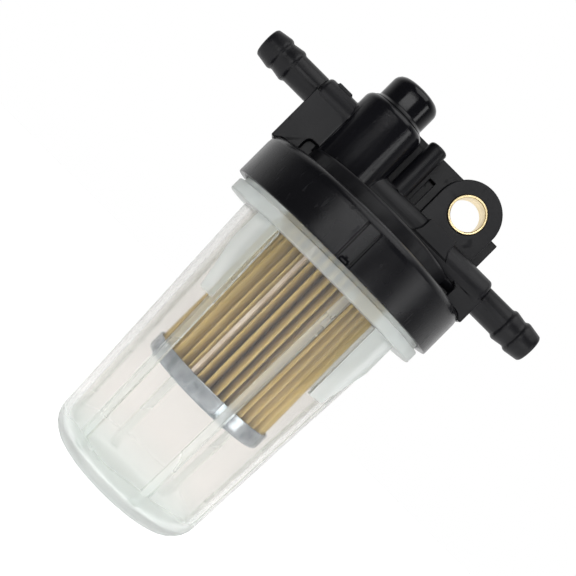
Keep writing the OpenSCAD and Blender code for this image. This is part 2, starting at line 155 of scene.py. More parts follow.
# %% mesh helpers
def grid_mesh(name, points, loop_rows=False, first_pole=False, last_pole=False):
    """A closed mesh from a grid of points, rows along the outline and columns round it.

    The columns always close on themselves. The rows close too if loop_rows is set. A pole
    row, which lies on the axis, becomes one vertex with a fan of triangles. Folds steeper
    than SHARP_ANGLE stay crisp, and the rest are shaded smooth.
    """
    rows, cols, _ = points.shape
    index = np.arange(rows * cols).reshape(rows, cols)
    verts = points.reshape(-1, 3)
    right = np.roll(index, -1, axis=1)
    below = np.roll(index, -1, axis=0)
    below_right = np.roll(right, -1, axis=0)
    start = 1 if first_pole else 0
    end = rows if loop_rows else (rows - 2 if last_pole else rows - 1)
    quads = np.stack([index, right, below_right, below], axis=-1)[start:end]
    faces = quads.reshape(-1, 4).tolist()
    if first_pole:
        fan = np.stack([np.full(cols, index[0, 0]), right[1], index[1]], axis=-1)
        faces += fan[:, ::-1].tolist()
    if last_pole:
        fan = np.stack([index[-2], right[-2], np.full(cols, index[-1, 0])], axis=-1)
        faces += fan.tolist()
    mesh = bpy.data.meshes.new(name)
    mesh.from_pydata(verts * MM, [], faces)
    work = bmesh.new()
    work.from_mesh(mesh)
    loose = [v for v in work.verts if not v.link_faces]
    bmesh.ops.delete(work, geom=loose, context="VERTS")
    bmesh.ops.recalc_face_normals(work, faces=work.faces)
    work.to_mesh(mesh)
    work.free()
    mesh.polygons.foreach_set("use_smooth", np.ones(len(mesh.polygons), bool))
    mesh.set_sharp_from_angle(angle=SHARP_ANGLE)
    return mesh


def around(r, z, azimuth, centre=(0, 0)):
    """Points at radius r, height z and azimuth in degrees, counted from -Y towards +X."""
    a = np.radians(azimuth)
    r, z, a = np.broadcast_arrays(r, z, a)
    return np.stack([centre[0] + r * np.sin(a), centre[1] - r * np.cos(a), z], axis=-1)


def piece(name, mesh, body, node, material):
    """Puts a mesh in the scene as the finished form of a CAD node."""
    obj = bpy.data.objects.new(name, mesh)
    bpy.context.scene.collection.objects.link(obj)
    mesh.materials.append(material)
    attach(obj, body)
    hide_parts(node)
    print(name, len(mesh.polygons), "faces")
    return obj


# %% [markdown]
# ## Patterns that several finishes share
#
# A moulded or pressed surface is never one even tone. Three patterns carry that here:
# a fine grain, wide soft blotches where the surface is a little duller, and short
# handling scratches. Each is a node group, built once, and every material feeds it its
# own scale and strength.

# %% node tools
def new_group(name, inputs, outputs):
    """An empty node group with float inputs (name, default) and named float outputs."""
    group = bpy.data.node_groups.new(name, "ShaderNodeTree")
    group.interface.new_socket("Vector", in_out="INPUT", socket_type="NodeSocketVector")
    for label, value in inputs:
        socket = group.interface.new_socket(
            label, in_out="INPUT", socket_type="NodeSocketFloat")
        socket.default_value = value
    for label in outputs:
        group.interface.new_socket(
            label, in_out="OUTPUT", socket_type="NodeSocketFloat")
    return group, group.nodes.new("NodeGroupInput"), group.nodes.new("NodeGroupOutput")


def math_node(tree, kind, a, b=None, clamp=False):
    """A Math node of that kind, whose inputs are sockets or numbers."""
    node = tree.nodes.new("ShaderNodeMath")
    node.operation = kind
    node.use_clamp = clamp
    for socket, value in zip(node.inputs, (a, b)):
        if value is None:
            continue
        if isinstance(value, (int, float)):
            socket.default_value = value
        else:
            tree.links.new(value, socket)
    return node.outputs[0]


def noise(tree, vector, scale, detail=3.0, rough=0.5):
    """A noise texture's value, on that vector at that scale (a socket or a number)."""
    node = tree.nodes.new("ShaderNodeTexNoise")
    node.inputs["Detail"].default_value = detail
    node.inputs["Roughness"].default_value = rough
    tree.links.new(vector, node.inputs["Vector"])
    if isinstance(scale, (int, float)):
        node.inputs["Scale"].default_value = scale
    else:
        tree.links.new(scale, node.inputs["Scale"])
    return node.outputs["Fac"]


def ranged(tree, value, low, high, to_low, to_high):
    """value mapped from low..high to to_low..to_high, and held there."""
    node = tree.nodes.new("ShaderNodeMapRange")
    for label, number in zip(("From Min", "From Max", "To Min", "To Max"),
                             (low, high, to_low, to_high)):
        node.inputs[label].default_value = number
    tree.links.new(value, node.inputs["Value"])
    return node.outputs["Result"]


def moulded_surface_group():
    """Grain height, dull blotches from 0 to 1 and scratches from 0 to 1."""
    group, start, end = new_group(
        "moulded_surface",
        [("Grain Scale", 2600.0), ("Blotch Scale", 60.0), ("Scratch Scale", 220.0)],
        ["Grain", "Blotch", "Scratch"])
    vector = start.outputs["Vector"]
    grain = noise(group, vector, start.outputs["Grain Scale"], 4.0, 0.6)
    blotch = noise(group, vector, start.outputs["Blotch Scale"], 3.0, 0.55)
    stretch = group.nodes.new("ShaderNodeMapping")
    stretch.inputs["Rotation"].default_value = (0.3, 0.5, 0.7)
    stretch.inputs["Scale"].default_value = (1.0, 9.0, 1.0)
    group.links.new(vector, stretch.inputs["Vector"])
    lines = noise(group, stretch.outputs["Vector"], start.outputs["Scratch Scale"], 2.0)
    group.links.new(grain, end.inputs["Grain"])
    group.links.new(ranged(group, blotch, 0.35, 0.7, 0.0, 1.0), end.inputs["Blotch"])
    group.links.new(ranged(group, lines, 0.66, 0.72, 0.0, 1.0), end.inputs["Scratch"])
    return group


SURFACE = moulded_surface_group()
print("node group:", SURFACE.name)


# %% material tools
def new_material(name, colour, roughness, **plain):
    """A material with one Principled shader and the plain values given by socket name."""
    material = bpy.data.materials.new(name)
    material.use_nodes = True
    tree = material.node_tree
    shader = tree.nodes["Principled BSDF"]
    shader.inputs["Base Color"].default_value = (*colour, 1)
    shader.inputs["Roughness"].default_value = roughness
    for label, value in plain.items():
        shader.inputs[label.replace("_", " ")].default_value = value
    coords = tree.nodes.new("ShaderNodeTexCoord")
    return material, tree, shader, coords.outputs["Object"]


def surface_patterns(tree, vector, grain=2600.0, blotch=60.0, scratch=220.0):
    """The shared patterns, placed in a material with its own scales."""
    node = tree.nodes.new("ShaderNodeGroup")
    node.node_tree = SURFACE
    tree.links.new(vector, node.inputs["Vector"])
    node.inputs["Grain Scale"].default_value = grain
    node.inputs["Blotch Scale"].default_value = blotch
    node.inputs["Scratch Scale"].default_value = scratch
    return node.outputs["Grain"], node.outputs["Blotch"], node.outputs["Scratch"]


def bump(tree, shader, height, strength, distance):
    """Feeds a height to the shader's normal, as a relief of that distance in metres."""
    node = tree.nodes.new("ShaderNodeBump")
    node.inputs["Strength"].default_value = strength
    node.inputs["Distance"].default_value = distance
    tree.links.new(height, node.inputs["Height"])
    tree.links.new(node.outputs["Normal"], shader.inputs["Normal"])


def colour_mix(tree, mask, first, second):
    """A colour between two, by a mask: each is a socket or three numbers."""
    node = tree.nodes.new("ShaderNodeMix")
    node.data_type = "RGBA"
    tree.links.new(mask, node.inputs[0])
    for socket, value in ((node.inputs[6], first), (node.inputs[7], second)):
        if isinstance(value, tuple):
            socket.default_value = (*value, 1)
        else:
            tree.links.new(value, socket)
    return node.outputs[2]


# %% [markdown]
# ## Black moulded plastic
#
# The head and the ring are glass-filled nylon: near black, satin, with a fine grain from
# the mould, slightly duller where the glass comes to the surface. The round valve chamber
# is polished in the mould and shines more. One function makes the finish, and a gloss
# mask by distance from the chamber's axis tells the head's two areas apart.

# %% black plastics
# the polished chamber in millimetres: its edge away from the axis, and its foot
GLOSS_EDGE = (9.05, 9.25)
GLOSS_FOOT = (91.1, 91.4)
GLOSS = 0.22


def black_plastic(name, tone, rough, grain_depth, glossy_chamber=False):
    """Near-black plastic. Roughness is rough, plus blotches and scratches."""
    material, tree, shader, vector = new_material(
        name, (tone, tone, tone * 1.3), rough, Specular_IOR_Level=0.2)
    grain, blotch, scratch = surface_patterns(tree, vector)
    worn = math_node(tree, "MULTIPLY", scratch, 0.25)
    dull = math_node(tree, "MULTIPLY", blotch, 0.10)
    roughness = math_node(tree, "ADD", math_node(tree, "ADD", dull, worn), rough)
    if glossy_chamber:
        split = tree.nodes.new("ShaderNodeSeparateXYZ")
        tree.links.new(vector, split.inputs[0])
        x = math_node(tree, "SUBTRACT", split.outputs["X"], CHAMBER_X * MM)
        xx = math_node(tree, "MULTIPLY", x, x)
        yy = math_node(tree, "MULTIPLY", split.outputs["Y"], split.outputs["Y"])
        away = math_node(tree, "SQRT", math_node(tree, "ADD", xx, yy))
        near = ranged(tree, away, GLOSS_EDGE[0] * MM, GLOSS_EDGE[1] * MM, 1.0, 0.0)
        high = ranged(tree, split.outputs["Z"], GLOSS_FOOT[0] * MM, GLOSS_FOOT[1] * MM,
                      0.0, 1.0)
        shine = math_node(tree, "MULTIPLY", math_node(tree, "MULTIPLY", near, high), GLOSS)
        roughness = math_node(tree, "SUBTRACT", roughness, shine, clamp=True)
    tree.links.new(roughness, shader.inputs["Roughness"])
    tone_mask = math_node(tree, "ADD", math_node(tree, "MULTIPLY", blotch, 0.5),
                          math_node(tree, "MULTIPLY", scratch, 0.3), clamp=True)
    light = (tone * 1.7, tone * 1.7, tone * 2.2)
    colour = colour_mix(tree, tone_mask, (tone, tone, tone * 1.3), light)
    tree.links.new(colour, shader.inputs["Base Color"])
    bump(tree, shader, grain, 0.35, grain_depth)
    return material


HEAD_BLACK = black_plastic("head_black", 0.0035, 0.34, 0.00006, glossy_chamber=True)
RING_BLACK = black_plastic("ring_black", 0.003, 0.22, 0.00005)
KNOB_BLACK = black_plastic("knob_black", 0.003, 0.11, 0.00003)
print("black plastics made")

# %% [markdown]
# ## Clear nylon, paper, metals and rubber
#
# The bowl is natural nylon: clear enough to read the element through, with a faint milky
# body that shows where it is thick. A rough glass with a little diffuse light in it,
# tinted at the foot, gives both. The grey at glancing angles is partly that milky body
# seen along its longest path and partly painted shade on the silhouettes and rib edges.
# The paper is resin-treated cellulose with long fibres, and the dark brown down in its
# folds is painted shade. The end cap is zinc-plated sheet, and the bush is turned brass.

# %% clear nylon
FOOT_TINT = (0.77, 0.81, 0.79)
# the grey at glancing angles: partly the milky wall seen along its longest path, partly
# painted shade
EDGE_MILK_AND_SHADE = (0.74, 0.76, 0.74)


def nylon(name, colour, clearness, rough):
    """Rough glass with a diffuse share of 1 - clearness, greyer at the foot, and greyer at
    glancing angles, which is partly milky body and partly painted shade.
    """
    material, tree, shader, vector = new_material(
        name, colour, rough, Transmission_Weight=clearness, IOR=1.12)
    _, blotch, scratch = surface_patterns(tree, vector, 900.0, 45.0, 150.0)
    spread = math_node(tree, "ADD", math_node(tree, "MULTIPLY", blotch, 0.05), rough)
    spread = math_node(tree, "ADD", spread, math_node(tree, "MULTIPLY", scratch, 0.02))
    split = tree.nodes.new("ShaderNodeSeparateXYZ")
    tree.links.new(vector, split.inputs[0])
    foot = ranged(tree, split.outputs["Z"], 1.0 * MM, 13.0 * MM, 1.0, 0.0)
    spread = math_node(tree, "ADD", spread, math_node(tree, "MULTIPLY", foot, 0.25))
    tree.links.new(spread, shader.inputs["Roughness"])
    cloudy = tuple(c * 0.965 for c in colour)
    tint = colour_mix(tree, blotch, colour, cloudy)
    tint = colour_mix(tree, foot, tint, FOOT_TINT)
    # partly painted shade: a grey by viewing angle darkens the silhouettes and the rib edges;
    # partly the milky wall seen edge-on
    facing = tree.nodes.new("ShaderNodeLayerWeight")
    facing.inputs["Blend"].default_value = 0.35
    edge = ranged(tree, facing.outputs["Facing"], 0.25, 1.0, 0.0, 0.6)
    tint = colour_mix(tree, edge, tint, EDGE_MILK_AND_SHADE)
    tree.links.new(tint, shader.inputs["Base Color"])
    bump(tree, shader, blotch, 0.02, 0.0002)
    return material


# %% paper and glue
def pleated_paper():
    """Tan paper with upright fibres, with painted shade darkening its folds towards the
    element's axis.
    """
    material, tree, shader, vector = new_material("filter_paper", (0.6, 0.46, 0.24), 0.85)
    centred = tree.nodes.new("ShaderNodeMapping")
    centred.inputs["Location"].default_value = (-ELEMENT_X * MM, 0, 0)
    tree.links.new(vector, centred.inputs["Vector"])
    flat = tree.nodes.new("ShaderNodeMapping")
    flat.inputs["Scale"].default_value = (1, 1, 0)
    tree.links.new(centred.outputs["Vector"], flat.inputs["Vector"])
    length = tree.nodes.new("ShaderNodeVectorMath")
    length.operation = "LENGTH"
    tree.links.new(flat.outputs["Vector"], length.inputs[0])
    # painted shade: the colour darkens from the outer folds in to the deep inner folds, where
    # little light reaches
    fold = ranged(tree, length.outputs["Value"], 11.5 * MM, 16.6 * MM, 0.0, 1.0)
    fibre_space = tree.nodes.new("ShaderNodeMapping")
    fibre_space.inputs["Scale"].default_value = (1, 1, 0.08)
    tree.links.new(vector, fibre_space.inputs["Vector"])
    fibre = noise(tree, fibre_space.outputs["Vector"], 1500.0, 5.0, 0.65)
    cloud = noise(tree, vector, 160.0, 3.0)
    # painted shade: the dark brown of the deep inner folds
    painted_fold_shade = colour_mix(tree, cloud, (0.10, 0.05, 0.02), (0.2, 0.11, 0.045))
    crest = colour_mix(tree, cloud, (0.47, 0.34, 0.105), (0.60, 0.46, 0.17))
    base = colour_mix(tree, fold, painted_fold_shade, crest)
    speck = math_node(tree, "MULTIPLY", ranged(tree, fibre, 0.4, 0.75, 0.0, 1.0), 0.45)
    tree.links.new(colour_mix(tree, speck, base, (0.68, 0.55, 0.32)),
                   shader.inputs["Base Color"])
    bump(tree, shader, fibre, 0.5, 0.00012)
    return material


def cast_glue():
    """Amber casting resin with a skin that is a little uneven."""
    material, tree, shader, vector = new_material("cast_glue", (0.62, 0.52, 0.4), 0.45)
    grain, blotch, _ = surface_patterns(tree, vector, 500.0, 120.0, 200.0)
    colour = colour_mix(tree, blotch, (0.55, 0.45, 0.34), (0.74, 0.66, 0.56))
    tree.links.new(colour, shader.inputs["Base Color"])
    bump(tree, shader, grain, 0.4, 0.0002)
    return material


# %% metals and rubber
def plated_sheet():
    """Zinc-plated sheet: metal with crystal patches, rubbed in drawing the cup."""
    material, tree, shader, vector = new_material(
        "plated_sheet", (0.30, 0.34, 0.38), 0.2, Metallic=1.0)
    grain, blotch, _ = surface_patterns(tree, vector, 1400.0, 140.0, 300.0)
    cell = tree.nodes.new("ShaderNodeTexVoronoi")
    cell.inputs["Scale"].default_value = 420.0
    tree.links.new(vector, cell.inputs["Vector"])
    patch = ranged(tree, cell.outputs["Distance"], 0.0, 0.8, 0.0, 1.0)
    colour = colour_mix(tree, patch, (0.22, 0.255, 0.29), (0.38, 0.42, 0.46))
    tree.links.new(colour, shader.inputs["Base Color"])
    rough = math_node(tree, "ADD", math_node(tree, "MULTIPLY", blotch, 0.10), 0.15)
    tree.links.new(rough, shader.inputs["Roughness"])
    bump(tree, shader, grain, 0.2, 0.00005)
    return material


def turned_metal(name, colour, rough):
    """Turned metal: faint rings from the tool and a slight tarnish."""
    material, tree, shader, vector = new_material(name, colour, rough, Metallic=1.0)
    grain, blotch, _ = surface_patterns(tree, vector, 1800.0, 200.0, 500.0)
    darker = tuple(c * 0.75 for c in colour)
    tree.links.new(colour_mix(tree, blotch, colour, darker), shader.inputs["Base Color"])
    spread = math_node(tree, "ADD", math_node(tree, "MULTIPLY", blotch, 0.12), rough)
    tree.links.new(spread, shader.inputs["Roughness"])
    bump(tree, shader, grain, 0.25, 0.00004)
    return material


def black_rubber():
    """Matt rubber with a pale bloom in patches."""
    material, tree, shader, vector = new_material("black_rubber", (0.02, 0.02, 0.02), 0.7)
    grain, blotch, _ = surface_patterns(tree, vector, 1200.0, 90.0, 200.0)
    colour = colour_mix(tree, blotch, (0.015, 0.015, 0.015), (0.045, 0.045, 0.043))
    tree.links.new(colour, shader.inputs["Base Color"])
    bump(tree, shader, grain, 0.4, 0.0001)
    return material


NYLON = nylon("clear_nylon", (0.885, 0.868, 0.845), 0.96, 0.12)
THICK_NYLON = nylon("thick_nylon", (0.70, 0.74, 0.725), 0.62, 0.3)
RIB_NYLON = nylon("rib_nylon", (0.80, 0.83, 0.80), 0.66, 0.25)
PAPER = pleated_paper()
GLUE = cast_glue()
PLATED = plated_sheet()
BRASS = turned_metal("turned_brass", (0.86, 0.70, 0.40), 0.3)
STEEL = turned_metal("bright_steel", (0.66, 0.66, 0.68), 0.18)
RUBBER = black_rubber()
print("finishes made:", len(bpy.data.materials))

# %% [markdown]
# ## The bowl
#
# The real bowl is one moulding: a cup with a thick floor, a flange, a threaded neck, six
# ribs inside and four spanner lugs outside. Joined boxes would leave inner faces that
# glass shows at once. So it is one surface: the outline is spun, and the ribs and lugs
# are written into the radius itself, as windows in azimuth and height.

# %% bowl sizes
RIB_AZIMUTHS = 21 + 60 * np.arange(6)
RIB_W = 2.4
RIB_H = 1.1
LUG_R = 26.6
LUG_LOW = 49.1
LUG_BEND = 61.3
COLUMNS = 480
# each lug: X of its upright side, of its outer side above the bend and at its foot
LUGS = [(-13.7, -19.8, -17.2), (17.1, 23.6, 20.5)]
LUG_FACE = 8
FLANGE_TOP = 73.2
INNER_TOP = 72.4
NECK_BORE_R = 24.6
NECK_BORE_LOW = 74.8
THREAD_ROOT = 27.9
THREAD_CREST = 28.5
THREAD_START = 75.1
THREAD_LOWS = (75.6, 77.6, 79.6)
# each mark on the flange's rim: its first and last azimuth, and its height
RIM_MARKS = [(-17.6, -8.2, 0.07), (7.6, 9.0, 0.05)]
# the mould's gate on the inner floor, in X and Y
GATE = (10.0, -5.2)


def wall_out(z):
    """Outer radius of the wall at height z: it widens evenly up to the flange."""
    share = (z - CORNER) / (WALL_TOP - CORNER)
    return WALL_R_LOW + (WALL_R_TOP - WALL_R_LOW) * share


def between(marks, counts, flags):
    """Columns of azimuth: each mark's own columns, then evenly spaced ones to the next.

    marks is a list of arrays of rows by columns, in rising azimuth, counts says how many
    columns fill the gap after each, and flags has a value for each mark's columns. The
    last gap leads back to the first mark. The columns start near azimuth 0.
    """
    columns, values = [], []
    for k, count in enumerate(counts):
        following = marks[(k + 1) % len(marks)][:, :1] + (360 if k + 1 == len(marks) else 0)
        last = marks[k][:, -1:]
        share = np.arange(1, count + 1) / (count + 1)
        columns += [marks[k], last + (following - last) * share]
        values += [flags[k], np.zeros((1, count))]
    columns = np.concatenate(columns, axis=1)
    first = int(np.argmin(columns[len(columns) // 2] % 360))
    values = np.concatenate(values, axis=1)
    return np.roll(columns, -first, axis=1), np.roll(values, -first, axis=1)


def lug_marks(r, z, risen):
    """Columns of azimuth for the four lugs, whose sides run straight back along Y.

    A lug spans two X values. On its face, at LUG_R, and on the wall, at r, the azimuth
    of an X is its arc sine over that radius. The outermost column at each side stays on
    the wall, and the rest go to the face where the row has risen.
    """
    marks = []
    for upright, outer, foot in LUGS:
        slanted = np.interp(z, [LUG_LOW, LUG_BEND], [foot, outer])
        limits = [np.minimum(upright, slanted), np.maximum(upright, slanted)]
        on_wall = [np.degrees(np.arcsin(x / np.maximum(r, 24))) for x in limits]
        on_face = [np.degrees(np.arcsin(x / LUG_R)) for x in limits]
        share = np.linspace(0, 1, LUG_FACE)
        wall = on_wall[0] + (on_wall[1] - on_wall[0]) * share
        face = on_face[0] + (on_face[1] - on_face[0]) * share
        middle = wall + (face - wall) * risen
        marks.append(np.concatenate([on_wall[0] - 0.05, middle, on_wall[1] + 0.05], axis=1))
    return [marks[0], marks[1], 180 - marks[1][:, ::-1], 180 - marks[0][:, ::-1]]


def bowl_columns(r, z, outer, risen):
    """Azimuths and lug faces for every row: outside by the lugs, inside by the ribs."""
    lugs = lug_marks(r, z, risen)
    spare = COLUMNS - 4 * (LUG_FACE + 2)
    gaps = np.array([(lugs[(k + 1) % 4][0, 0] - lugs[k][0, -1]) % 360 for k in range(4)])
    counts = np.floor(spare * gaps / gaps.sum()).astype(int)
    counts[0] += spare - counts.sum()
    raised = np.zeros((1, LUG_FACE + 2))
    raised[:, 1:-1] = 1
    outside, faces = between(lugs, counts, [raised] * 4)
    side = np.linspace(RIB_W / 2 - 0.3, RIB_W / 2 + 0.5, 8)
    across = np.concatenate([-side[::-1], [-0.4, 0, 0.4], side])
    ribs = [rib + np.degrees(np.arcsin(across / np.maximum(r, 18))) for rib in RIB_AZIMUTHS]
    flat = np.zeros((1, across.size))
    inside, _ = between(ribs, [(COLUMNS - 6 * across.size) // 6] * 6, [flat] * 6)
    return np.where(outer, outside, inside), faces


# %% bowl shape
def bowl_outline():
    """The bowl's outline from the middle of its foot, over the rim, to the inner floor."""
    lip = RING_LOW[2]
    rim = BOWL_HIGH[2]
    root = THREAD_ROOT
    crest = THREAD_CREST
    outside = [(0, 0), (WALL_R_LOW - 0.33, 0), (WALL_R_TOP, WALL_TOP),
               (FLANGE_R, WALL_TOP), (FLANGE_R, FLANGE_TOP), (crest, FLANGE_TOP),
               (crest, lip + 0.3), (root, THREAD_START)]
    radii = [0, CORNER, 0.5, 0.35, 0.35, 0.2, 0.2, 0]
    for z in THREAD_LOWS:
        outside += [(root, z), (crest, z + 0.4), (crest, z + 0.9), (root, z + 1.3)]
        radii += [0, 0, 0, 0]
    outside += [(root, rim), (NECK_BORE_R, rim)]
    radii += [0.3, 0.3]
    inside = [(NECK_BORE_R, NECK_BORE_LOW), (WALL_R_TOP - WALL, INNER_TOP),
              (WALL_R_LOW - WALL - 0.2, FLOOR), (0, FLOOR)]
    path = rounded(outside + inside, radii + [0.4, 1.0, INNER_CORNER, 0], 9)
    foot = np.array([[0, 0]])
    return spaced(np.concatenate([foot, path[1:]]), 2.6)


def bowl_surface():
    """The outline spun, its radius changed by ribs inside and lugs outside.

    A rib takes RIB_H off the inner radius within half its width of its own plane. A lug
    lifts the columns of its face to LUG_R. Small patches on the flange's rim are the
    marks of the mould's inserts, and a low boss on the inner floor is its gate.
    """
    path = bowl_outline()
    for z in (LUG_LOW - 0.2, LUG_LOW, LUG_LOW + 0.2, LUG_BEND):
        k = int(np.argmax((path[:-1, 1] < z) & (path[1:, 1] >= z)
                          & (path[:-1, 0] > WALL_R_LOW - 1)))
        path = np.insert(path, k + 1, [wall_out(z), z], axis=0)
    top = int(np.argmax(path[:, 1]))
    outer = (np.arange(len(path)) <= top)[:, None]
    heights = path[:, 1:2]
    risen = outer * window(heights, LUG_LOW, WALL_TOP + 2, 0.25) * (path[:, 0:1] < LUG_R)
    azimuth, faces = bowl_columns(path[:, 0:1], heights, outer, risen)
    r = np.repeat(path[:, 0:1], COLUMNS, axis=1)
    z = np.repeat(heights, COLUMNS, axis=1)
    r = r + (LUG_R - r) * faces * risen
    for rib in RIB_AZIMUTHS:
        turn = np.radians((azimuth - rib + 180) % 360 - 180)
        facing = np.cos(turn) > 0
        across = r * np.sin(turn)
        wall = window(z, FLOOR + 0.6, WALL_TOP + 1.2, 0.5) * (r > 12) * facing * ~outer
        r = r - RIB_H * wall * window(across, -RIB_W / 2, RIB_W / 2, 0.22)
    rim = outer * (r > FLANGE_R - 0.05) * window(z, 70.7, 72.6, 0.2)
    for low, high, lift in RIM_MARKS:
        turn = (azimuth + 180) % 360 - 180
        r = r + lift * rim * window(turn, low, high, 0.3)
    from_gate = np.hypot(r * np.sin(np.radians(azimuth)) - GATE[0],
                         -r * np.cos(np.radians(azimuth)) - GATE[1])
    z = z + 0.35 * (~outer) * (z < FLOOR + 0.5) * window(from_gate, -1, 4.0, 0.5)
    return around(r, z, azimuth)


def tint_thick_parts(mesh):
    """Gives lugs, flange and neck the thick nylon, and the ribs theirs, by face centre."""
    centres = np.zeros(len(mesh.polygons) * 3)
    mesh.polygons.foreach_get("center", centres)
    x, y, z = centres.reshape(-1, 3).T / MM
    r = np.hypot(x, y)
    thick = (r > wall_out(z) + 0.25) & (z > LUG_LOW - 0.6)
    hollow = np.clip(FLOOR + INNER_CORNER - z, 0, INNER_CORNER)
    inner = wall_out(z) - WALL - INNER_CORNER + np.sqrt(INNER_CORNER ** 2 - hollow ** 2)
    rib = (r < inner - 0.35) & (r > inner - RIB_H - 0.5) & (z > FLOOR + 0.5) & (z < 71)
    slots = np.where(thick, 1, np.where(rib, 2, 0))
    mesh.materials.append(THICK_NYLON)
    mesh.materials.append(RIB_NYLON)
    mesh.polygons.foreach_set("material_index", slots)
    print("thick faces", int(thick.sum()), "rib faces", int(rib.sum()))


bowl = piece("clear_bowl", grid_mesh("clear_bowl", bowl_surface(), first_pole=True,
                                     last_pole=True), "bowl", "bowl", NYLON)
tint_thick_parts(bowl.data)

# %% [markdown]
# ## The screw ring
#
# The ring is spun too. Each latch tongue is a flat strip a hair below the ring's face,
# with a deeper slit on each side and a half-round notch at its foot, where a tool can
# lift it. All three are steps in the radius, and a faint ledge near the top shows where
# the two halves of the mould met.

# %% ring shape
LATCHES = 120 * np.arange(3)
# a tongue's two sides, from the latch's middle, and the width of the slit beside each
TONGUE = (-0.35, 2.85)
SLIT = 0.5
SLIT_DEPTH = 0.75
TONGUE_DEPTH = 0.28
NOTCH_DEPTH = 0.9
LEDGE_DEPTH = 0.06


def ring_surface():
    """The ring's outline spun, with the latch's slits, tongue and notch cut in."""
    inner = 28.8
    opening = 25.3
    lip = 1.5
    low, high = RING_LOW[2], RING_HIGH[2]
    corners = [(inner, low + 0.3), (inner + 0.3, low), (RING_R - 0.02, low),
               (RING_R, low + 0.4), (RING_R, high), (opening, high),
               (opening, high - lip), (inner, high - lip), (inner, low + 0.3)]
    path = spaced(rounded(corners, [0, 0.2, 0.3, 0, 2.6, 0.4, 0.2, 0.3, 0], 8), 0.45)[:-1]
    fine = np.arange(-3.2, 8.2, 0.16)
    azimuth = np.unique(np.round(np.concatenate(
        [np.arange(0, 360, 2.0)] + [a + fine for a in LATCHES]) % 360, 3))[None, :]
    r = np.repeat(path[:, 0:1], azimuth.size, axis=1)
    z = np.repeat(path[:, 1:2], azimuth.size, axis=1)
    skin = (r > RING_R - 1.2) & (z > low + 0.02)
    top = high - 2.2
    for latch in LATCHES:
        turn = np.radians((azimuth - latch + 180) % 360 - 180)
        x = RING_R * np.sin(turn)
        near = np.cos(turn) > 0.5
        tall = window(z, low + 0.2, top, 0.15) * skin * near
        slits = (window(x, TONGUE[0] - SLIT, TONGUE[0], 0.12)
                 + window(x, TONGUE[1], TONGUE[1] + SLIT, 0.12))
        tongue = window(x, TONGUE[0], TONGUE[1], 0.12)
        notch = window(np.hypot(x - 1.25, z - low), -1, 1.3, 0.15) * skin * near
        r = r - tall * (SLIT_DEPTH * slits + TONGUE_DEPTH * tongue)
        r = r - NOTCH_DEPTH * notch
    ledge = skin * window(z, high - 2.45, high - 2.2, 0.1)
    r = r - LEDGE_DEPTH * ledge
    return around(r, z, azimuth)


piece("screw_ring", grid_mesh("screw_ring", ring_surface(), loop_rows=True),
      "ring", "retaining_ring", RING_BLACK)

# %% [markdown]
# ## The pleated paper
#
# The paper is one long strip, folded back and forth and closed into a star. Hand-set
# pleats are never even, so each fold gets its own small turn, lean and reach. The strip
# is a sheet whose radius swings between the inner and outer folds, and Solidify gives it
# the paper's thickness.

# %% paper shape
PLEATS = 36
PLEAT_OUT = 16.9
PLEAT_IN = 9.4


def paper_surface():
    """A star-shaped sheet: radius and azimuth follow a rounded triangle wave.

    Along one pleat the phase p runs from 0 to 1. The radius is the inner one plus the
    depth times a wave that is flat for a short while at each fold. The lean turns a
    pleat a little more at the top than at the foot.
    """
    rng = np.random.default_rng(11)
    per = 20
    count = PLEATS * per
    phase = np.arange(count) / per
    wave = np.abs((phase % 1) * 2 - 1)
    wave = 0.5 + 0.5 * np.tanh((0.5 - wave) * 2.6) / np.tanh(1.3)
    which = phase.astype(int)
    reach = rng.uniform(-0.45, 0.0, PLEATS)[which]
    at = np.arange(PLEATS) + 0.5
    turn = np.interp(phase, at, rng.uniform(-1.5, 1.5, PLEATS), period=PLEATS)
    lean = np.interp(phase, at, rng.uniform(-1.3, 1.3, PLEATS), period=PLEATS)
    low, high = PAPER_LOW[2], PAPER_HIGH[2]
    t = np.linspace(0, 1, 15)[:, None]
    z = low + (high - low) * t
    bow = 0.12 * np.sin(np.pi * t * 2.0 + 0.7 * which[None, :])
    r = PLEAT_IN + (PLEAT_OUT + reach - PLEAT_IN) * wave[None, :] + bow * wave[None, :]
    azimuth = phase * 360 / PLEATS - 20 + turn * wave + lean * wave * (t - 0.4)
    return around(r, z + 0 * r, azimuth, (ELEMENT_X, 0))


def open_tube_mesh(name, points):
    """A grid that closes round its columns and stays open at both ends."""
    rows, cols, _ = points.shape
    index = np.arange(rows * cols).reshape(rows, cols)
    right = np.roll(index, -1, axis=1)
    quads = np.stack([index[:-1], right[:-1], right[1:], index[1:]], axis=-1)
    mesh = bpy.data.meshes.new(name)
    mesh.from_pydata(points.reshape(-1, 3) * MM, [], quads.reshape(-1, 4).tolist())
    mesh.polygons.foreach_set("use_smooth", np.ones(len(mesh.polygons), bool))
    return mesh


paper = piece("pleated_paper", open_tube_mesh("pleated_paper", paper_surface()),
              "element", "element_paper", PAPER)
thick = paper.modifiers.new("paper_thickness", "SOLIDIFY")
thick.thickness = 0.32 * MM
thick.offset = 0.0
print("pleats:", PLEATS)

# %% [markdown]
# ## The end cap, the knob and the bush
#
# These are turned or drawn shapes. An outline with its corners rounded, spun about its
# own axis, gives each of them, with the small radii that catch the light.

# %% spun pieces
def spun(outline, radii, centre=(0, 0), columns=144, steps=6, step=1.5):
    """A closed solid of revolution whose outline starts and ends on the axis."""
    path = spaced(rounded(outline, radii, steps), step)
    azimuth = np.arange(columns) * 360 / columns
    return around(path[:, 0:1], path[:, 1:2], azimuth[None, :], centre)


def spun_ring(outline, radii, columns):
    """A closed ring of revolution: its outline returns to its first point, left out here."""
    return spun(outline, radii, columns=columns, steps=5)[:-1]


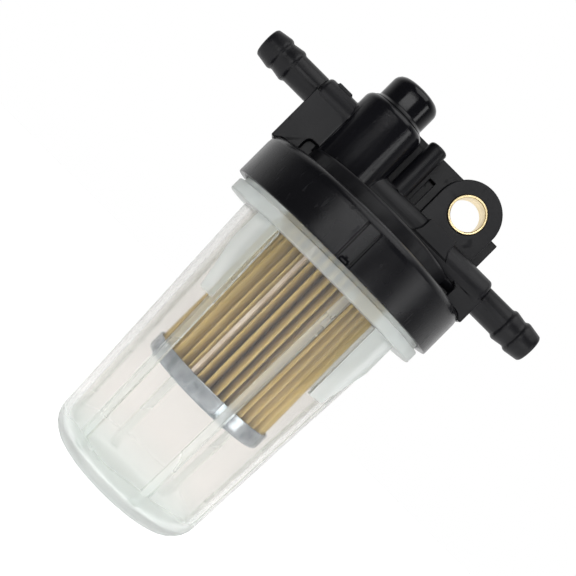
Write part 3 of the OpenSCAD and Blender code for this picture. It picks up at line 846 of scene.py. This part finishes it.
def cup_outline():
    """The drawn cup under the element: a floor, a round heel and a straight rim."""
    r = (CUP_HIGH[0] - CUP_LOW[0]) / 2
    low, high = CUP_LOW[2], CUP_HIGH[2]
    wall = 0.5
    return ([(0, low), (r, low), (r, high), (r - wall, high), (r - wall, low + wall),
             (0, low + wall)], [0, 1.2, 0.2, 0.2, 0.7, 0])


piece("end_cap", grid_mesh("end_cap", spun(*cup_outline(), (ELEMENT_X, 0)),
                           first_pole=True, last_pole=True),
      "element", "element_bottom_cap", PLATED)

KNOB_R = 6.75
STEM_R = 5.28
SHOULDER = 110.6
knob_outline = [(0, KNOB_LOW[2]), (STEM_R, KNOB_LOW[2]), (STEM_R, SHOULDER),
                (KNOB_R + 0.8, SHOULDER), (KNOB_R, SHOULDER + 0.8),
                (KNOB_R, KNOB_HIGH[2]), (0, KNOB_HIGH[2])]
piece("chamber_knob", grid_mesh(
    "chamber_knob", spun(knob_outline, [0, 0.3, 0, 0, 0.6, 2.4, 0], (CHAMBER_X, 0)),
    first_pole=True, last_pole=True), "head", "chamber_cap", KNOB_BLACK)


# %% bush
def bush_surface():
    """A tube along Y: a spun ring turned so that its axis is the eye's."""
    outer = (BUSH_HIGH[0] - BUSH_LOW[0]) / 2
    bore = 4.25
    near, far = -BUSH_HIGH[1], -BUSH_LOW[1]
    corners = [(bore, near + 0.5), (bore, far), (outer, far), (outer, near),
               (bore, near), (bore, near + 0.5)]
    ring_points = spun_ring(corners, [0, 0.45, 0.25, 0.25, 0.45, 0], columns=96)
    x, y, z = np.moveaxis(ring_points, -1, 0)
    eye_x = (BUSH_LOW[0] + BUSH_HIGH[0]) / 2
    eye_z = (BUSH_LOW[2] + BUSH_HIGH[2]) / 2
    return np.stack([eye_x + x, -z, eye_z + y], axis=-1)


piece("eye_bush", grid_mesh("eye_bush", bush_surface(), loop_rows=True),
      "head", "mount_bush", BRASS)

# %% spring
SPRING_LOW, SPRING_HIGH = span("valve_spring")


def spring_surface(turns=4, coil=2.2, wire=0.2, steps=28, sides=8):
    """A wire swept along a helix: a circle of radius wire, carried round at radius coil."""
    around_coil = np.linspace(0, turns * 2 * np.pi, turns * steps + 1)[:, None]
    around_wire = (np.arange(sides) * 2 * np.pi / sides)[None, :]
    ends = [np.zeros((1, sides)), np.ones((turns * steps + 1, sides)), np.zeros((1, sides))]
    thick = wire * np.concatenate(ends)
    turn = np.concatenate([around_coil[:1], around_coil, around_coil[-1:]])
    low, high = SPRING_LOW[2] + wire, SPRING_HIGH[2] - wire
    r = coil + thick * np.cos(around_wire)
    z = low + (high - low) * turn / turn.max() + thick * np.sin(around_wire)
    return np.stack([CHAMBER_X + r * np.cos(turn), r * np.sin(turn), z], axis=-1)


spring = piece("check_spring", grid_mesh("check_spring", spring_surface(), first_pole=True,
                                         last_pole=True),
               "head", "valve_spring", STEEL)
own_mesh(spring)

# %% [markdown]
# ## The head and the pieces that stay as CAD
#
# The head is a single moulding of slabs, tubes and walls, and its shape is right as
# designed. A mould leaves no sharp edge, so its doubled points are welded and every
# steep edge gets a bevel of a few tenths of a millimetre. The small inner pieces keep
# their CAD shape and take their finish.

# %% head
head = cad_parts["head"]
joined = head.modifiers.new("joined", "WELD")
joined.merge_threshold = 0.002 * MM
edges = head.modifiers.new("soft_edges", "BEVEL")
edges.width = 0.3 * MM
edges.segments = 2
edges.limit_method = "ANGLE"
edges.angle_limit = math.radians(35)
edges.use_clamp_overlap = False
edges.harden_normals = True


def finish_node(name, material):
    """Gives a CAD node its finish."""
    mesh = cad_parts[name].data
    mesh.materials.clear()
    mesh.materials.append(material)


FINISHES = {
    "head": HEAD_BLACK, "head_base": HEAD_BLACK, "valve_retainer": HEAD_BLACK,
    "bowl_seal": RUBBER, "element_grommet": RUBBER,
    "element_core": PLATED, "element_top_cap": PLATED,
    "element_top_glue": GLUE, "element_bottom_glue": GLUE, "element_seam": GLUE,
    "valve_ball": STEEL, "valve_seat": BRASS,
}
for name, material in FINISHES.items():
    finish_node(name, material)
print("CAD nodes finished")

# %% [markdown]
# ## Camera, floor and light
#
# The filter is looked at square on to its web, a little below the middle of the ring,
# with the camera rolled so that the bowl points down to the left. The light is a white
# tent, bright behind and darker in front. A wide soft box lights the front, and a tall
# one at the side draws the upright highlights on the chamber and the knob.

# %% camera
EYE = Vector((-3.0, -270.7, 59.9)) * MM
AIM = Vector((-3.0, 0.0, 62.7)) * MM
LENS = 70.4
back = (EYE - AIM).normalized()
right = Vector((1, 0, 1)).normalized()
right = (right - back * right.dot(back)).normalized()
up = back.cross(right)
camera_data = bpy.data.cameras.new("camera")
camera_data.lens = LENS
camera_data.sensor_width = 36
camera_data.clip_start = 0.01
camera_data.clip_end = 20
camera = bpy.data.objects.new("camera", camera_data)
camera.matrix_world = Matrix.Translation(EYE) @ Matrix((right, up, back)).transposed().to_4x4()
bpy.context.scene.collection.objects.link(camera)
bpy.context.scene.camera = camera
print("camera", round((EYE - AIM).length, 3), "m away")

# %% floor
# the floor lies lower than the bowl does when it is pulled all the way down
FLOOR_Z = -0.12
FLOOR_GLOW = 0.58
HALF = 3.0
floor_data = bpy.data.meshes.new("floor")
floor_data.from_pydata([(-HALF, -HALF, FLOOR_Z), (HALF, -HALF, FLOOR_Z),
                        (HALF, HALF, FLOOR_Z), (-HALF, HALF, FLOOR_Z)], [], [(0, 1, 2, 3)])
floor = bpy.data.objects.new("floor", floor_data)
bpy.context.scene.collection.objects.link(floor)
floor_paint, floor_tree, floor_shader, floor_vector = new_material(
    "pale_floor", (0.93, 0.93, 0.93), 0.9)
tone = noise(floor_tree, floor_vector, 4.0)
floor_tree.links.new(colour_mix(floor_tree, tone, (0.93, 0.93, 0.93), (0.95, 0.95, 0.95)),
                     floor_shader.inputs["Base Color"])
floor_shader.inputs["Emission Color"].default_value = (1, 1, 1, 1)
floor_shader.inputs["Emission Strength"].default_value = FLOOR_GLOW
floor_data.materials.append(floor_paint)


# %% light
def soft_box(name, place, aim, width, height, power):
    """A rectangular area light at a place, facing a point, in metres and watts."""
    data = bpy.data.lights.new(name, "AREA")
    data.shape = "RECTANGLE"
    data.size = width
    data.size_y = height
    data.energy = power
    lamp = bpy.data.objects.new(name, data)
    direction = Vector(place) - Vector(aim)
    lamp.matrix_world = (Matrix.Translation(place)
                         @ direction.to_track_quat("Z", "Y").to_matrix().to_4x4())
    bpy.context.scene.collection.objects.link(lamp)
    return lamp


MIDDLE = (0, 0, 0.07)
soft_box("front_box", (-0.12, -0.76, 0.22), MIDDLE, 0.65, 0.2, 2.0)
soft_box("top_box", (0.1, -0.3, 0.8), MIDDLE, 0.7, 0.7, 4.0)
soft_box("side_box", (0.85, -0.35, 0.1), MIDDLE, 0.22, 0.8, 2.4)
soft_box("low_box", (0.42, -0.65, -0.02), MIDDLE, 0.14, 0.2, 0.5)

# the tent's strength in front and behind, and the Y directions where it starts and ends
TENT_DARK, TENT_BRIGHT = 0.08, 1.0
TENT_START, TENT_END = -0.1, 0.45
world = bpy.data.worlds.new("white_tent")
bpy.context.scene.world = world
world.use_nodes = True
sky = world.node_tree
background = sky.nodes["Background"]
where = sky.nodes.new("ShaderNodeTexCoord")
parts = sky.nodes.new("ShaderNodeSeparateXYZ")
sky.links.new(where.outputs["Generated"], parts.inputs[0])
tent = ranged(sky, parts.outputs["Y"], TENT_START, TENT_END, TENT_DARK, TENT_BRIGHT)
path = sky.nodes.new("ShaderNodeLightPath")
straight = math_node(sky, "MAXIMUM", path.outputs["Is Camera Ray"],
                     path.outputs["Is Transmission Ray"])
seen = math_node(sky, "MAXIMUM", tent, straight)
sky.links.new(seen, background.inputs["Strength"])
background.inputs["Color"].default_value = (1, 1, 1, 1)
bpy.context.scene.view_settings.view_transform = "Standard"
